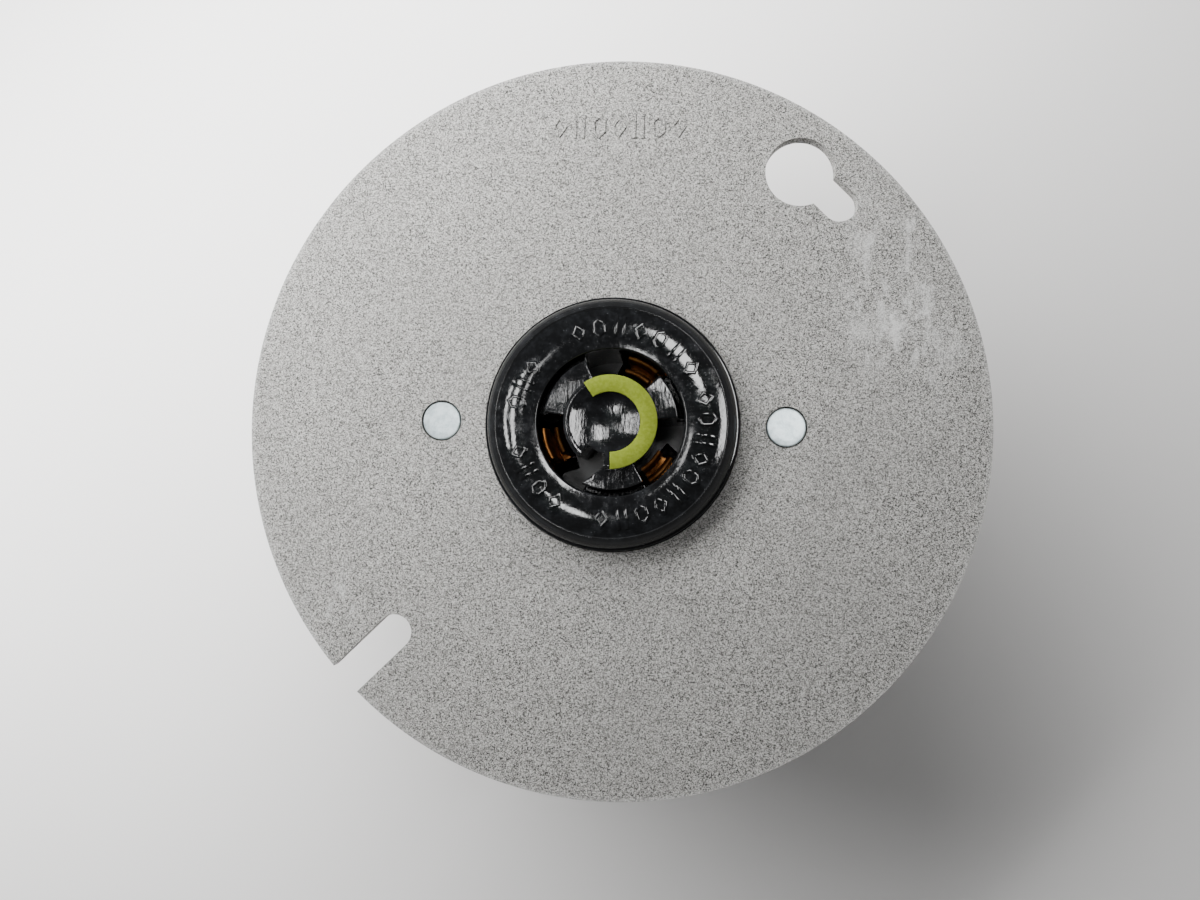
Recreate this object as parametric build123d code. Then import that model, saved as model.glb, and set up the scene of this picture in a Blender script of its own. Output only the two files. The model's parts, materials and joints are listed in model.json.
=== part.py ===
from build123d import *
from math import cos, hypot, radians, sin
import os

# A round cover for a 4 in outlet box with a midget locking receptacle riveted in its middle.
# Millimetres. The origin is the middle of the cover's back face, which seats on the box.
# +Z points out of the front, towards the plug, and the two rivets lie along X.

# Cover plate
plate_dia = 104.775
plate_thick = 2.0
plate_edge_round = 0.2
box_screw_spacing = 88.9
box_screw_slot = 4.95
keyhole_entry_dia = 9.8
keyhole_seat_angle = 45.2
keyhole_entry_angle = 54.5
open_slot_angle = 225.0
open_slot_spare = 1.75

# Rivets
rivet_spacing = 48.8
rivet_head_dia = 5.35
rivet_head_thick = 1.2
rivet_shank_dia = 3.5
rivet_tail_dia = 5.6
rivet_tail_thick = 1.0
rivet_bore_dia = 2.2
rivet_bore_depth = 1.7
rivet_head_round = 0.2
rivet_tail_round = 0.6
rivet_head_gap = 0.23
rivet_shank_gap = 0.1

# Mounting strap
strap_thick = 1.5
strap_ear_dia = 11.6
strap_margin = 1.5

# Face housing: the black ring that shows, and the cup and flange behind it
face_dia = 35.74
face_gap = 0.18
face_rise = 3.0
face_crown = 0.22
face_flat_dia = 31.8
foot_rise = 0.75
foot_step = 0.35
foot_slope = 0.12
shoulder_inset = 0.77
shoulder_drop = 0.85
lip_round = 0.3
ring_opening_dia = 20.44
ring_wall = 3.2
cup_wall = 2.45
flange_thick = 2.5
flange_width = 6.25

# Contact core: centre post, three bridges and the block that holds them
core_dia = 13.0
core_rise = 3.96
core_edge_round = 0.5
dish_margin = 0.7
dish_depth = 0.9
bridge_dia = 18.74
bridge_rise = 2.8
bridge_edge_chamfer = 0.2
groove_depth = 4.0
well_gap = 0.18
core_gap = 0.2
core_block_gap = 0.1
core_block_depth = 10.0
notch_radius = 4.4
notch_angles = (228.0, 263.0)
# each bridge: first and last angle at the post, then first and last angle at its outer edge
bridges = [
    (5.0, 45.0, 5.0, 45.0),
    (113.0, 172.5, 113.0, 172.5),
    (264.0, 300.0, 246.0, 300.0),
]

# Colour mark, a C let into the rim of the post
mark_inner_dia = 8.3
mark_thick = 0.7
mark_edge_round = 0.12
mark_angles = (-89.0, 125.5)

# Contacts, each with its terminal at the same angle
contact_angles = {"hot": 63.0, "ground": 198.5, "neutral": 318.0}
contact_span = 27.0
blade_path_dia = 17.4
leaf_thick = 0.5
leaf_pinch = 0.35
leaf_spread = 0.65
leaf_lip = 0.75
leaf_bend_height = -1.5
leaf_pinch_height = 0.4
leaf_top_height = 2.7
contact_thick = 1.2
contact_foot_width = 4.4
tab_inset = 1.02
tab_width = 7.2
tab_length = 11.0
tab_collar_dia = 6.0
tab_collar_length = 1.8

# Terminal screws and their clamp plates
screw_dia = 3.96
screw_running_gap = 0.05
screw_seat_gap = 0.05
screw_head_dia = 7.4
screw_head_thick = 2.0
screw_head_round = 0.5
screw_slot_width = 1.0
screw_slot_depth = 1.0
screw_tip_chamfer = 0.5
screw_reach = 3.9
screw_drop = 6.4
clamp_width = 8.0
clamp_height = 7.8
clamp_thick = 1.3
clamp_rest_gap = 0.15
clamp_travel = 2.4
clamp_round = 0.8
wire_dia = 2.05
wire_offset = 2.7
wire_groove = 0.25

# Base housing and rear cover
terminal_room = 1.0
rear_cover_thick = 4.0
rear_edge_chamfer = 0.7
leaf_room = 0.45
channel_gap = 0.35
pocket_gap = 0.35
pocket_drop = 0.4
wire_hole_dia = 2.8
post_width = 4.0
post_gap = 0.1
post_radius_gap = 0.3
post_screw_gap = 0.6

# Assembly screws
assembly_screw_dia = 2.84
assembly_screw_margin = 2.4
assembly_hole_gap = 0.18
assembly_thread_gap = 0.03
assembly_head_dia = 5.0
assembly_head_thick = 1.8
assembly_head_gap = 0.2
assembly_head_round = 0.7
assembly_recess = 2.2
assembly_cross_width = 0.9
assembly_cross_depth = 1.0
assembly_cross_length = 3.34
assembly_tip_gap = 0.1

# Ground bond strip, from the strap to the ground contact's tab
bond_thick = 0.7
bond_width = 5.0
bond_gap = 0.15
bond_inset = 3.48
bond_shelf_depth = 8.2
bond_foot_length = 2.6
bond_ear_length = 3.4

# Working allowances: how far a cutter runs past a face, and how far joined shapes run together
past = 1.0
join = 0.5

# Levels and radii that follow from the sizes above
plate_radius = plate_dia / 2
face_radius = face_dia / 2
face_hole_radius = face_radius + face_gap
body_radius = face_radius + flange_width
cup_radius = face_radius - cup_wall
core_block_radius = cup_radius - core_gap
ring_radius = ring_opening_dia / 2
well_radius = ring_radius + well_gap
core_radius = core_dia / 2
dish_radius = core_radius - dish_margin
bridge_radius = bridge_dia / 2
face_level = plate_thick + face_rise
ring_back_level = face_level - ring_wall
core_top_level = plate_thick + core_rise
bridge_level = plate_thick + bridge_rise
core_block_top = ring_back_level - core_block_gap
flange_front = -strap_thick
flange_back = flange_front - flange_thick
core_back_level = -core_block_depth
foot_back = core_back_level - contact_thick
tab_radius = cup_radius - tab_inset
tab_face_radius = tab_radius + contact_thick
tab_end_level = core_back_level - tab_length
screw_level = core_back_level - screw_drop
screw_tip_radius = tab_radius - screw_reach
clamp_radius = tab_face_radius + clamp_rest_gap
clamp_face_radius = clamp_radius + clamp_thick
head_radius = clamp_face_radius + screw_seat_gap
wire_radius = tab_face_radius + (clamp_rest_gap + clamp_travel) / 2
pocket_top = core_back_level - pocket_drop
base_back = min(tab_end_level, screw_level - clamp_height / 2) - terminal_room
rear_level = base_back - rear_cover_thick
channel_radius = blade_path_dia / 2 - leaf_spread - leaf_thick - leaf_room
channel_half_width = tab_width / 2 + channel_gap
bond_drop_radius = cup_radius + bond_inset
assembly_radius = face_hole_radius + assembly_screw_margin
assembly_angles = {"upper": 90.0, "lower": 270.0}
rivet_sides = {"left": -1, "right": 1}


# Small makers

def polar(radius, angle):
    return (radius * cos(radians(angle)), radius * sin(radians(angle)))


def rod(radius, low, high, x=0.0, y=0.0):
    """An upright cylinder between two heights."""
    ends = (Align.CENTER, Align.CENTER, Align.MIN)
    return Pos(x, y, low) * Cylinder(radius, high - low, align=ends)


def radial_rod(radius, near, far, level):
    """A cylinder lying along +X between two distances from the middle."""
    ends = (Align.CENTER, Align.CENTER, Align.MIN)
    return Pos(near, 0, level) * Rot(0, 90, 0) * Cylinder(radius, far - near, align=ends)


def block(x_low, x_high, width, low, high, y=0.0):
    """A box that lies across the X axis, centred at y."""
    middle = Pos((x_low + x_high) / 2, y, (low + high) / 2)
    return middle * Box(x_high - x_low, width, high - low)


def turned(edges, angle=360.0):
    """A profile of edges in radius and height, revolved about Z."""
    profile = make_face(Plane.XZ * Curve(edges))
    return revolve(profile, Axis.Z, revolution_arc=angle)


def turned_outline(points, angle=360.0):
    """The same from straight edges through a list of (radius, height) points."""
    profile = make_face(Plane.XZ * Polyline(*points, close=True))
    return revolve(profile, Axis.Z, revolution_arc=angle)


def sector(inner, outer, first, last, outer_first=None, outer_last=None):
    """A flat piece of a ring; its outer edge may span other angles than its inner edge."""
    outer_first = first if outer_first is None else outer_first
    outer_last = last if outer_last is None else outer_last
    rim_middle = (outer_first + outer_last) / 2
    rim = ThreePointArc(
        polar(outer, outer_first), polar(outer, rim_middle), polar(outer, outer_last)
    )
    hub = ThreePointArc(polar(inner, last), polar(inner, (first + last) / 2), polar(inner, first))
    return make_face([rim, Line(rim @ 1, hub @ 0), hub, Line(hub @ 1, rim @ 0)])


def prism(face, low, high):
    """A flat face pulled up from one height to another."""
    return extrude(Pos(0, 0, low) * face, high - low)


def level_edges(part, level):
    """The edges of a part that lie wholly at one height."""
    return part.edges().filter_by_position(Axis.Z, level - 1e-4, level + 1e-4)


def beyond(edge, radius):
    """True for an edge whose middle lies further from the Z axis than a radius."""
    middle = edge @ 0.5
    return hypot(middle.X, middle.Y) > radius


def turned_to(angle, part):
    return Rot(0, 0, angle) * part


def rivet_places():
    return [side * rivet_spacing / 2 for side in rivet_sides.values()]


def assembly_places():
    return [polar(assembly_radius, angle) for angle in assembly_angles.values()]


# Cover plate, strap and rivets

def keyhole():
    """Entry circle for the screw's head, and the narrow seat that runs out of it."""
    seat_radius = box_screw_spacing / 2
    entry_x, entry_y = polar(seat_radius, keyhole_entry_angle)
    seat_x, seat_y = polar(seat_radius, keyhole_seat_angle)
    reach = seat_radius * radians(keyhole_entry_angle - keyhole_seat_angle)
    neck = Pos(0, reach / 2) * Rectangle(box_screw_slot, reach)
    seat = Pos(seat_x, seat_y) * Rot(0, 0, keyhole_seat_angle) * neck
    return Pos(entry_x, entry_y) * Circle(keyhole_entry_dia / 2) + seat + (
        Pos(seat_x, seat_y) * Circle(box_screw_slot / 2)
    )


def open_slot():
    """A screw slot that runs out through the plate's edge."""
    closed_end = box_screw_spacing / 2 - open_slot_spare
    length = plate_radius - closed_end + box_screw_slot
    run = Pos(closed_end + length / 2, 0) * Rectangle(length, box_screw_slot)
    end = Pos(closed_end, 0) * Circle(box_screw_slot / 2)
    return Rot(0, 0, open_slot_angle) * (run + end)


def make_cover_plate():
    plate = rod(plate_radius, 0, plate_thick)
    plate = fillet(plate.edges(), plate_edge_round)
    for cut in (keyhole(), open_slot(), Circle(face_hole_radius)):
        plate -= prism(cut, -past, plate_thick + past)
    for x in rivet_places():
        plate -= rod(rivet_shank_dia / 2 + rivet_shank_gap, -past, plate_thick + past, x)
        recess_radius = rivet_head_dia / 2 + rivet_head_gap
        plate -= rod(recess_radius, plate_thick - rivet_head_thick, plate_thick + past, x)
    return plate


def make_rivet(x):
    """A flat-headed rivet whose hollow end is rolled over behind the strap."""
    head = rod(rivet_head_dia / 2, plate_thick - rivet_head_thick, plate_thick)
    head = fillet(level_edges(head, plate_thick), rivet_head_round)
    tail_end = -strap_thick - rivet_tail_thick
    tail = rod(rivet_tail_dia / 2, tail_end, -strap_thick)
    tail = fillet(level_edges(tail, tail_end), rivet_tail_round)
    rivet = head + rod(rivet_shank_dia / 2, -strap_thick, plate_thick - rivet_head_thick) + tail
    rivet -= rod(rivet_bore_dia / 2, tail_end - past, tail_end + rivet_bore_depth)
    return Pos(x, 0, 0) * rivet


def make_mounting_strap():
    ear = Circle(strap_ear_dia / 2)
    middle = Circle(assembly_radius + assembly_screw_dia / 2 + strap_margin)
    outline = make_hull((middle + [Pos(x, 0) * ear for x in rivet_places()]).edges())
    outline -= Circle(face_hole_radius)
    for x in rivet_places():
        outline -= Pos(x, 0) * Circle(rivet_shank_dia / 2 + rivet_shank_gap)
    for x, y in assembly_places():
        outline -= Pos(x, y) * Circle(assembly_screw_dia / 2 + assembly_thread_gap)
    return prism(outline, -strap_thick, 0)


# Receptacle

def make_face_housing():
    foot_level = plate_thick + foot_rise
    flat_radius = face_flat_dia / 2
    lip_corner = lip_round * (1 - sin(radians(45)))
    crown_radius = (ring_radius + flat_radius) / 2
    shoulder = [
        Line((face_radius, flange_front), (face_radius, foot_level)),
        Line((face_radius, foot_level), (face_radius - foot_step, foot_level + foot_slope)),
        ThreePointArc(
            (face_radius - foot_step, foot_level + foot_slope),
            (face_radius - shoulder_inset, face_level - shoulder_drop),
            (flat_radius, face_level),
        ),
    ]
    crown = [
        ThreePointArc(
            (flat_radius, face_level),
            (crown_radius, face_level + face_crown),
            (ring_radius + lip_round, face_level),
        ),
        ThreePointArc(
            (ring_radius + lip_round, face_level),
            (ring_radius + lip_corner, face_level - lip_corner),
            (ring_radius, face_level - lip_round),
        ),
    ]
    inside = Polyline(
        (ring_radius, face_level - lip_round),
        (ring_radius, ring_back_level),
        (cup_radius, ring_back_level),
        (cup_radius, flange_back),
        (body_radius, flange_back),
        (body_radius, flange_front),
        (face_radius, flange_front),
    )
    housing = turned(shoulder + crown + [inside])
    for x in rivet_places():
        housing -= rod(rivet_tail_dia / 2 + bond_gap, flange_back - past, flange_front + past, x)
    for x, y in assembly_places():
        housing -= rod(
            assembly_screw_dia / 2 + assembly_hole_gap, flange_back - past, flange_front + past, x, y
        )
    return housing - bond_clearance()


def make_contact_core():
    slot_face = Circle(well_radius) - Circle(core_radius)
    for first, last, outer_first, outer_last in bridges:
        slot_face -= sector(
            core_radius - join, well_radius + join, first, last, outer_first, outer_last
        )
    core = rod(core_block_radius, core_back_level, core_block_top)
    core -= prism(slot_face, core_back_level - past, core_block_top + past)
    groove = Circle(well_radius) - Circle(bridge_radius)
    core -= prism(groove, core_block_top - groove_depth, core_block_top + past)
    for first, last, outer_first, outer_last in bridges:
        bridge = prism(
            sector(core_radius - join, bridge_radius, first, last, outer_first, outer_last),
            core_block_top - join,
            bridge_level,
        )
        outer_edges = [
            edge for edge in level_edges(bridge, bridge_level) if beyond(edge, core_radius)
        ]
        core += chamfer(outer_edges, bridge_edge_chamfer)
    core += make_post()
    notch = sector(notch_radius, core_radius + past, *notch_angles)
    core -= prism(notch, core_back_level - past, core_top_level + past)
    return core


def make_post():
    """The centre post with its rounded rim and dished top, cut away under the colour mark."""
    post = rod(core_radius, core_back_level, core_top_level)
    post = fillet(level_edges(post, core_top_level), core_edge_round)
    ball_radius = (dish_radius**2 + dish_depth**2) / (2 * dish_depth)
    post -= Pos(0, 0, core_top_level - dish_depth + ball_radius) * Sphere(ball_radius)
    seat = sector(mark_inner_dia / 2, core_radius + past, *mark_angles)
    return post - prism(seat, core_top_level - mark_thick, core_top_level + past)


def make_colour_mark():
    face = sector(mark_inner_dia / 2, core_radius, *mark_angles)
    mark = prism(face, core_top_level - mark_thick, core_top_level)
    return fillet(level_edges(mark, core_top_level), mark_edge_round)


def leaf(side):
    """One contact leaf in radius and height; side is -1 for the inner and 1 for the outer leaf."""
    path = blade_path_dia / 2
    levels = [core_back_level, leaf_bend_height, leaf_pinch_height, leaf_top_height]
    offsets = [leaf_spread, leaf_spread, leaf_pinch, leaf_lip]
    near = [(path + side * offset, level) for offset, level in zip(offsets, levels)]
    far = [(radius + side * leaf_thick, level) for radius, level in near]
    return turned_outline(near + far[::-1], contact_span)


def make_contact(angle):
    """Two leaves, a foot that ties them together, and a tapped tab for the terminal screw."""
    path = blade_path_dia / 2
    reach = leaf_spread + leaf_thick
    tie = turned_outline(
        [
            (path - reach, foot_back),
            (path + reach, foot_back),
            (path + reach, core_back_level),
            (path - reach, core_back_level),
        ],
        contact_span,
    )
    leaves = turned_to(-contact_span / 2, leaf(-1) + leaf(1) + tie)
    foot = block(path, tab_face_radius, contact_foot_width, foot_back, core_back_level)
    tab = block(tab_radius, tab_face_radius, tab_width, tab_end_level, core_back_level)
    collar = radial_rod(tab_collar_dia / 2, tab_radius - tab_collar_length, tab_radius, screw_level)
    thread = radial_rod(
        screw_dia / 2 + screw_running_gap, tab_radius - tab_collar_length - past,
        tab_face_radius + past, screw_level,
    )
    return turned_to(angle, leaves + foot + tab + collar - thread)


def make_clamp_plate(angle):
    """A pressure plate with two shallow grooves that hold the wires under the screw's head."""
    low = screw_level - clamp_height / 2
    plate = block(clamp_radius, clamp_face_radius, clamp_width, low, low + clamp_height)
    plate = fillet(plate.edges().filter_by(Axis.X), clamp_round)
    groove_radius = wire_dia / 2
    for side in (-1, 1):
        plate -= rod(
            groove_radius, low - past, low + clamp_height + past,
            clamp_radius + wire_groove - groove_radius, side * wire_offset,
        )
    plate -= radial_rod(
        screw_dia / 2 + screw_running_gap, clamp_radius - past, clamp_face_radius + past, screw_level
    )
    return turned_to(angle, plate)


def make_terminal_screw(angle):
    top = head_radius + screw_head_thick
    head = radial_rod(screw_head_dia / 2, head_radius, top, screw_level)
    head = fillet(head.edges().group_by(Axis.X)[-1], screw_head_round)
    head -= block(
        top - screw_slot_depth, top + past, screw_slot_width,
        screw_level - screw_head_dia, screw_level + screw_head_dia,
    )
    shank = radial_rod(screw_dia / 2, screw_tip_radius, head_radius, screw_level)
    shank = chamfer(shank.edges().group_by(Axis.X)[0], screw_tip_chamfer)
    return turned_to(angle, head + shank)


def contact_room():
    """The channel and the side pocket that one contact, its clamp plate and screw stand in."""
    channel = block(
        channel_radius, tab_face_radius, 2 * channel_half_width, base_back - past,
        core_back_level + past,
    )
    pocket = block(
        tab_radius, body_radius + past, clamp_width + 2 * pocket_gap, base_back - past, pocket_top
    )
    return channel + pocket


def make_base_housing():
    base = rod(body_radius, base_back, flange_back)
    base -= rod(cup_radius, core_back_level, flange_back + past)
    for angle in contact_angles.values():
        base -= turned_to(angle, contact_room())
    for x, y in assembly_places():
        base -= rod(
            assembly_screw_dia / 2 + assembly_hole_gap, base_back - past, flange_back + past, x, y
        )
    return base - bond_clearance()


def make_rear_cover():
    """The back of the body; a post under each contact's foot keeps the contact seated."""
    cover = rod(body_radius, rear_level, base_back)
    cover = chamfer(level_edges(cover, rear_level), rear_edge_chamfer)
    for angle in contact_angles.values():
        post = block(
            channel_radius + post_radius_gap, screw_tip_radius - post_screw_gap, post_width,
            base_back - join, foot_back - post_gap,
        )
        cover += turned_to(angle, post)
        for side in (-1, 1):
            hole = rod(
                wire_hole_dia / 2, rear_level - past, base_back + past, wire_radius, side * wire_offset
            )
            cover -= turned_to(angle, hole)
    for x, y in assembly_places():
        cover -= rod(
            assembly_screw_dia / 2 + assembly_hole_gap, rear_level - past, base_back + past, x, y
        )
        recess_radius = assembly_head_dia / 2 + assembly_head_gap
        cover -= rod(recess_radius, rear_level - past, rear_level + assembly_recess, x, y)
    return cover


def make_assembly_screw(x, y):
    """A long pan-head screw from the rear cover to the tapped hole in the strap."""
    seat = rear_level + assembly_recess
    head = rod(assembly_head_dia / 2, seat - assembly_head_thick, seat)
    head = fillet(level_edges(head, seat - assembly_head_thick), assembly_head_round)
    for turn in (0, 90):
        arm = block(
            -assembly_cross_length / 2, assembly_cross_length / 2, assembly_cross_width,
            seat - assembly_head_thick - past, seat - assembly_head_thick + assembly_cross_depth,
        )
        head -= turned_to(turn, arm)
    shank = rod(assembly_screw_dia / 2, seat, -assembly_tip_gap)
    return Pos(x, y, 0) * (head + shank)


# Ground bond strip

def bond_path(grow):
    """The strip's side view, with an allowance all round when a passage for it is cut."""
    half = bond_thick / 2 + grow
    top = flange_front
    low_shelf = -bond_shelf_depth
    foot_low = low_shelf - bond_foot_length
    ear = block(
        bond_drop_radius - half, bond_drop_radius + bond_ear_length + grow, bond_width + 2 * grow,
        top - bond_thick - grow, top,
    )
    drop = block(
        bond_drop_radius - half, bond_drop_radius + half, bond_width + 2 * grow, low_shelf - half, top
    )
    shelf = block(
        tab_face_radius - grow, bond_drop_radius + half, bond_width + 2 * grow,
        low_shelf - half, low_shelf + half,
    )
    foot = block(
        tab_face_radius - grow, tab_face_radius + bond_thick + grow, bond_width + 2 * grow,
        foot_low - grow, low_shelf + half,
    )
    return ear + drop + shelf + foot


def make_bond_strip():
    return turned_to(contact_angles["ground"], bond_path(0))


def bond_clearance():
    return turned_to(contact_angles["ground"], bond_path(bond_gap))


# Every piece, one file each

nodes = {
    "cover_plate": make_cover_plate(),
    "mounting_strap": make_mounting_strap(),
    "face_housing": make_face_housing(),
    "contact_core": make_contact_core(),
    "colour_mark": make_colour_mark(),
    "base_housing": make_base_housing(),
    "rear_cover": make_rear_cover(),
    "ground_bond_strip": make_bond_strip(),
}
for side_name, side_sign in rivet_sides.items():
    nodes[f"rivet_{side_name}"] = make_rivet(side_sign * rivet_spacing / 2)
for pole, pole_angle in contact_angles.items():
    nodes[f"{pole}_contact"] = make_contact(pole_angle)
    nodes[f"{pole}_clamp_plate"] = make_clamp_plate(pole_angle)
    nodes[f"{pole}_terminal_screw"] = make_terminal_screw(pole_angle)
for screw_name, screw_angle in assembly_angles.items():
    nodes[f"assembly_screw_{screw_name}"] = make_assembly_screw(*polar(assembly_radius, screw_angle))

os.makedirs("parts", exist_ok=True)
for name, solid in nodes.items():
    export_step(solid, f"parts/{name}.step")
    print(f"{name}: {len(solid.solids())} solid, {solid.volume:.1f} mm3")
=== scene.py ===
# %% [markdown]
# # A round box cover with a locking receptacle
# The object is a flat steel cover for a round outlet box. A small black receptacle is riveted in
# its middle, and behind the cover are a strap, a moulded body and three wire terminals.
# A CAD model already fixes every size and every joint. This lesson loads it as a frame and gives
# each piece the shape and finish that a close look needs, without moving anything.

# %% Load the frame
import json
from contextlib import contextmanager
from math import atan2, cos, degrees, hypot, pi, radians, sin, sqrt

import bmesh
import bpy
from mathutils import Matrix, Vector


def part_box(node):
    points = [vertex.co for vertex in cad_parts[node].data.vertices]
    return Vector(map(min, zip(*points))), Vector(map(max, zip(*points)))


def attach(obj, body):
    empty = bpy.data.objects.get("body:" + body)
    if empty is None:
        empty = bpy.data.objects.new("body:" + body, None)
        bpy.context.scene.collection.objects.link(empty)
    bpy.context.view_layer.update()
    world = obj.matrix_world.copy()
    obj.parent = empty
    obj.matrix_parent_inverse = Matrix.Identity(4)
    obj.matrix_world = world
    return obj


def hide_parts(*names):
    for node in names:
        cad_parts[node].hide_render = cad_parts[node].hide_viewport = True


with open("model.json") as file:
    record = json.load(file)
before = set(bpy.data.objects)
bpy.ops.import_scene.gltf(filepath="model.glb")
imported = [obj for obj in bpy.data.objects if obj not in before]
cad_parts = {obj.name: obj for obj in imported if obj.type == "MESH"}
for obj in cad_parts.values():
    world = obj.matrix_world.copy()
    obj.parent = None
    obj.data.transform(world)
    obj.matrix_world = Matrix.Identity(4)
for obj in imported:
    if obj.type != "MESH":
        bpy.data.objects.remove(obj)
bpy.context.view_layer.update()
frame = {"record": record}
record = frame["record"]
mounts = {mount["name"]: mount for mount in record["mounts"]}

# %% [markdown]
# ## The camera
# The object is seen from almost straight above, by a wide lens held about 13 cm away, a little
# below and to the right of the middle. Such a near camera shows the inner walls of holes on one
# side only, so its place matters more than its lens. Its turn is given as three directions:
# what points right in the view, what points up, and what points back at the viewer.

# %% Camera
MM = 0.001
camera_place = Vector((7.74, -10.10, 128.6)) * MM
view_right = (0.99710, 0.02517, -0.07189)
view_up = (-0.02147, 0.99842, 0.05187)
view_back = (0.07309, -0.05017, 0.99606)

bpy.ops.object.camera_add()
camera = bpy.context.object
camera.name = "overhead_camera"
turn = Matrix((view_right, view_up, view_back)).transposed()
camera.matrix_world = Matrix.Translation(camera_place) @ turn.to_4x4()
camera.data.lens = 27.03
camera.data.sensor_width = 36.0
camera.data.clip_start = 0.005
camera.data.dof.use_dof = False
bpy.context.scene.camera = camera
print("camera at", [round(value * 1000, 1) for value in camera.location], "mm")

# %% [markdown]
# ## Tools for modelling
# Every piece is made as by hand: a primitive or one traced outline is shaped in edit mode, and
# modifiers finish it. Operators act on whatever is selected, so each tool clears the selection
# first and then selects what it needs by place. Two starts are enough for this object: a block or
# a cylinder at its real size, and an outline that is spun round the Z axis, as on a lathe.

# %% Starting a piece
ROUND = 160


def deselect():
    if bpy.context.object and bpy.context.object.mode != "OBJECT":
        bpy.ops.object.mode_set(mode="OBJECT")
    bpy.ops.object.select_all(action="DESELECT")


def choose(piece):
    """Makes one piece the only selected and the active one."""
    deselect()
    piece.select_set(True)
    bpy.context.view_layer.objects.active = piece


@contextmanager
def editing(piece):
    """Edit mode on one piece, in vertex mode, with nothing in its mesh selected."""
    choose(piece)
    bpy.ops.object.mode_set(mode="EDIT")
    bpy.ops.mesh.select_mode(type="VERT")
    bpy.ops.mesh.select_all(action="DESELECT")
    yield
    bpy.ops.object.mode_set(mode="OBJECT")


def pick(kind, test):
    """In edit mode, selects the vertices, edges or faces whose middle passes the test."""
    bpy.ops.mesh.select_mode(type=kind)
    mesh = bmesh.from_edit_mesh(bpy.context.object.data)
    for part in {"VERT": mesh.verts, "EDGE": mesh.edges, "FACE": mesh.faces}[kind]:
        if kind == "VERT":
            middle = part.co
        elif kind == "EDGE":
            middle = (part.verts[0].co + part.verts[1].co) / 2
        else:
            middle = part.calc_center_median()
        part.select_set(test(middle / MM))
    mesh.select_flush_mode()
    bmesh.update_edit_mesh(bpy.context.object.data)


def placed(name):
    """Names the active object and moves its place into its mesh."""
    piece = bpy.context.object
    piece.name = piece.data.name = name
    bpy.ops.object.transform_apply(location=True, rotation=True, scale=True)
    return piece


def block(name, low, high):
    """A box between two corners, in millimetres."""
    low, high = Vector(low), Vector(high)
    deselect()
    bpy.ops.mesh.primitive_cube_add(
        size=1, location=(low + high) / 2 * MM, scale=(high - low) * MM
    )
    return placed(name)


def rod(name, radius, low, high, x=0.0, y=0.0, sides=ROUND):
    """An upright cylinder between two heights, in millimetres."""
    deselect()
    bpy.ops.mesh.primitive_cylinder_add(
        vertices=sides, radius=radius * MM, depth=(high - low) * MM,
        location=(x * MM, y * MM, (low + high) / 2 * MM),
    )
    return placed(name)


def bar(name, near, far, half_width, low, high):
    """A block along X between two distances from the middle, as wide on both sides of it."""
    return block(name, (near, -half_width, low), (far, half_width, high))


def twin_rods(name, radius, low, high, x=0.0, y=0.0, sides=48):
    """Two upright cylinders that stand opposite each other about the middle."""
    return [rod(name, radius, low, high, side * x, side * y, sides) for side in (-1, 1)]


print("a full round has", ROUND, "sides")

# %% [markdown]
# ## Outlines
# Most moulded and turned pieces are round, so half a cross-section is their whole drawing. One
# vertex is pulled from point to point along that outline, and spin turns it about the Z axis.
# Arcs and shallow bows give an outline its rounded corners and its crown.

# %% Tracing an outline and spinning it
def trace(name, outline, filled):
    """A closed outline of (radius, height) in the XZ plane: one vertex is pulled from point to point."""
    deselect()
    bpy.ops.mesh.primitive_plane_add(size=MM)
    piece = placed(name)
    points = [Vector((radius, 0, height)) * MM for radius, height in outline]
    with editing(piece):
        bpy.ops.mesh.select_all(action="SELECT")
        bpy.ops.mesh.merge(type="CENTER")
        bpy.ops.transform.translate(value=points[0])
        for here, there in zip(points, points[1:]):
            bpy.ops.mesh.extrude_vertices_move(TRANSFORM_OT_translate={"value": there - here})
        bpy.ops.mesh.select_all(action="SELECT")
        if filled:
            bpy.ops.mesh.edge_face_add()
        elif hypot(*(points[0] - points[-1])) > 1e-7:
            ends = [point / MM for point in (points[0], points[-1])]
            if ends[0].x > 1e-4 or ends[1].x > 1e-4:
                pick("VERT", lambda at: min((at - end).length for end in ends) < 1e-4)
                bpy.ops.mesh.edge_face_add()
    return piece


def spun(name, outline, first=0.0, last=360.0):
    """An outline turned about Z, all the way round or from one angle to another."""
    whole = abs(last - first - 360) < 1e-6
    piece = trace(name, outline, filled=not whole)
    span = radians(last - first)
    with editing(piece):
        bpy.ops.mesh.select_all(action="SELECT")
        steps = max(6, round(ROUND * span / (2 * pi)))
        bpy.ops.mesh.spin(steps=steps, angle=-span, center=(0, 0, 0), axis=(0, 0, 1))
        bpy.ops.mesh.select_all(action="SELECT")
        bpy.ops.mesh.remove_doubles(threshold=1e-7)
        bpy.ops.mesh.normals_make_consistent(inside=False)
    return turned(piece, first)


def turned(piece, angle):
    """Turns a piece about the Z axis, in degrees, and puts the turn into its mesh."""
    piece.data.transform(Matrix.Rotation(radians(angle), 4, "Z"))
    piece.data.update()
    return piece


def arc(centre, radius, first, last, steps=6):
    """Points of (radius, height) round a centre, from one angle to another, in degrees."""
    return [
        (centre[0] + radius * cos(radians(first + (last - first) * step / steps)),
         centre[1] + radius * sin(radians(first + (last - first) * step / steps)))
        for step in range(steps + 1)
    ]


def bow(start, middle_rise, end, steps=16):
    """Points of a shallow parabola between two points, raised in its middle."""
    points = []
    for step in range(steps + 1):
        share = step / steps
        rise = middle_rise * (1 - (2 * share - 1) ** 2)
        points.append((
            start[0] + (end[0] - start[0]) * share,
            start[1] + (end[1] - start[1]) * share + rise,
        ))
    return points


print("a corner is traced by", len(arc((0, 0), 1, 0, 90)), "points")

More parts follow.
